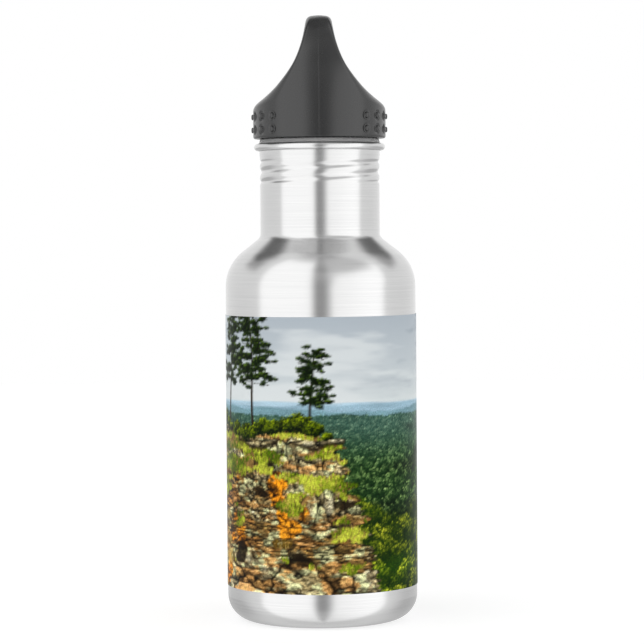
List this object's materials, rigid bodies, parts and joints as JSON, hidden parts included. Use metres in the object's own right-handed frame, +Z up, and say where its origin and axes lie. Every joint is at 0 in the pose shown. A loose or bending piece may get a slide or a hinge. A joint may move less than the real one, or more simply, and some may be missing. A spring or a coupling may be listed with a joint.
{
  "type": "steel water bottle with screw-in loop cap",
  "caption": "Single-wall steel drinking bottle with a rolled neck thread, a screw-in loop cap, a seal ring and a printed film round the body.",
  "frame": {"origin": "middle of the base, on the surface the bottle stands on", "axes": "+Z up along the bottle's axis; the cap's loop lies in the YZ plane and its finger hole runs along X; the film's butt seam is at +Y"},
  "size_m": [0.071, 0.071, 0.2228],
  "materials": {
    "brushed_steel": "fine horizontal brushing, food-grade stainless steel",
    "base_steel": "spun satin stainless steel",
    "print": "printed landscape under a thin clear satin film",
    "cap_plastic": "matte moulded polypropylene, charcoal black",
    "plug_plastic": "matte moulded polypropylene",
    "seal_rubber": "dark grey silicone"
  },
  "bodies": {
    "bottle": {"bottle_shell": "brushed_steel", "base_plate": "base_steel", "printed_film": "print"},
    "seal": {"seal_ring": "seal_rubber"},
    "cap": {"loop_cap": "cap_plastic", "threaded_plug": "plug_plastic", "plug_end_disc": "plug_plastic"}
  },
  "joints": [
    {"name": "cap_lift", "type": "slide", "parent": "bottle", "child": "seal", "axis": [0, 0, 1], "range_m": [0, 0.0248]},
    {"name": "cap_turn", "type": "hinge", "parent": "seal", "child": "cap", "pos_m": [0, 0, 0.1778], "axis": [0, 0, 1], "range_deg": [0, 1080]}
  ],
  "couplings": [
    {"joint": "cap_lift", "follows": "cap_turn", "m_per_rad": 0.0013146}
  ]
}
